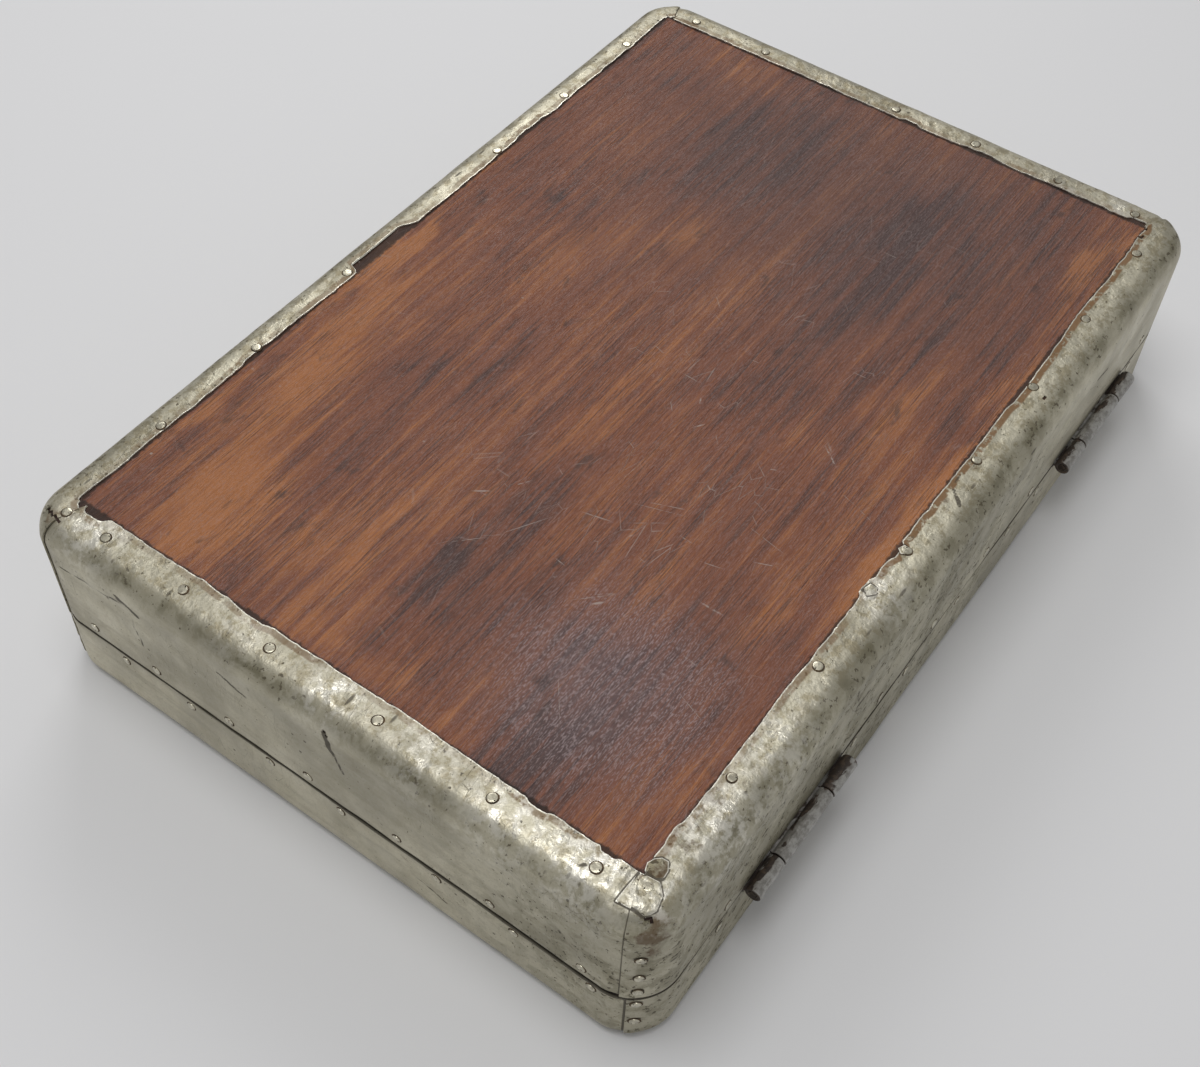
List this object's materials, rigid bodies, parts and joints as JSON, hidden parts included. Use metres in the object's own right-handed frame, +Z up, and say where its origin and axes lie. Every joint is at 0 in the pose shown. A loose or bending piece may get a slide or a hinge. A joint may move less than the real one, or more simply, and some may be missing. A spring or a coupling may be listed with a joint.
{
  "type": "silverware chest",
  "caption": "Low wooden chest for table silver, clad in nailed sheet metal, with a hinged lid, felt lining, notched racks and a front hook.",
  "frame": {"origin": "centre of the underside, on the surface that the chest stands on", "axes": "+X along the hinge side, to the right seen from the front, +Y towards the hinges at the back, +Z up"},
  "size_m": [0.3006, 0.2123, 0.0631],
  "materials": {
    "panel_wood": "dark red-brown polished wood, worn to orange along the metal border, with fine pale scratches",
    "case_wood": "dull dark stained wood",
    "rack_wood": "plain light brown wood",
    "sheet_metal": "old tinned or nickelled sheet, greenish cream, softly dented, specked with brown tarnish",
    "pin_metal": "flat pale pin heads in dark rings of grime",
    "hinge_paint": "grey-white paint, chipped to dark brown steel",
    "hinge_steel": "dull dark steel",
    "felt": "faded dark green felt",
    "hook_brass": "dull tarnished brass"
  },
  "bodies": {
    "base": {"base_board": "case_wood", "base_front_wall": "case_wood", "base_back_wall": "case_wood", "base_left_wall": "case_wood", "base_right_wall": "case_wood", "base_front_clad": "sheet_metal", "base_back_clad": "sheet_metal", "base_left_clad": "sheet_metal", "base_right_clad": "sheet_metal", "base_under_pins": "pin_metal", "base_rim_pins": "pin_metal", "base_corner_pins": "pin_metal", "base_lining": "felt", "left_rack": "rack_wood", "right_rack": "rack_wood", "left_hinge_base_leaf": "hinge_paint", "right_hinge_base_leaf": "hinge_paint", "left_hinge_pin": "hinge_steel", "right_hinge_pin": "hinge_steel", "base_hinge_screws": "hinge_steel", "catch_stud": "hook_brass"},
    "lid": {"lid_board": "panel_wood", "lid_front_wall": "case_wood", "lid_back_wall": "case_wood", "lid_left_wall": "case_wood", "lid_right_wall": "case_wood", "lid_front_clad": "sheet_metal", "lid_back_clad": "sheet_metal", "lid_left_clad": "sheet_metal", "lid_right_clad": "sheet_metal", "lid_top_pins": "pin_metal", "lid_rim_pins": "pin_metal", "lid_corner_pins": "pin_metal", "lid_lining": "felt", "left_hinge_lid_leaf": "hinge_paint", "right_hinge_lid_leaf": "hinge_paint", "lid_hinge_screws": "hinge_steel", "hook_pivot": "hook_brass"},
    "hook": {"hook": "hook_brass"}
  },
  "joints": [
    {"name": "lid_hinge", "type": "hinge", "parent": "base", "child": "lid", "pos_m": [0, 0.1047, 0.0246], "axis": [-1, 0, 0], "range_deg": [0, 138]},
    {"name": "hook_swing", "type": "hinge", "parent": "lid", "child": "hook", "pos_m": [-0.009, -0.1035, 0.0328], "axis": [0, -1, 0], "range_deg": [0, 47.6]}
  ]
}
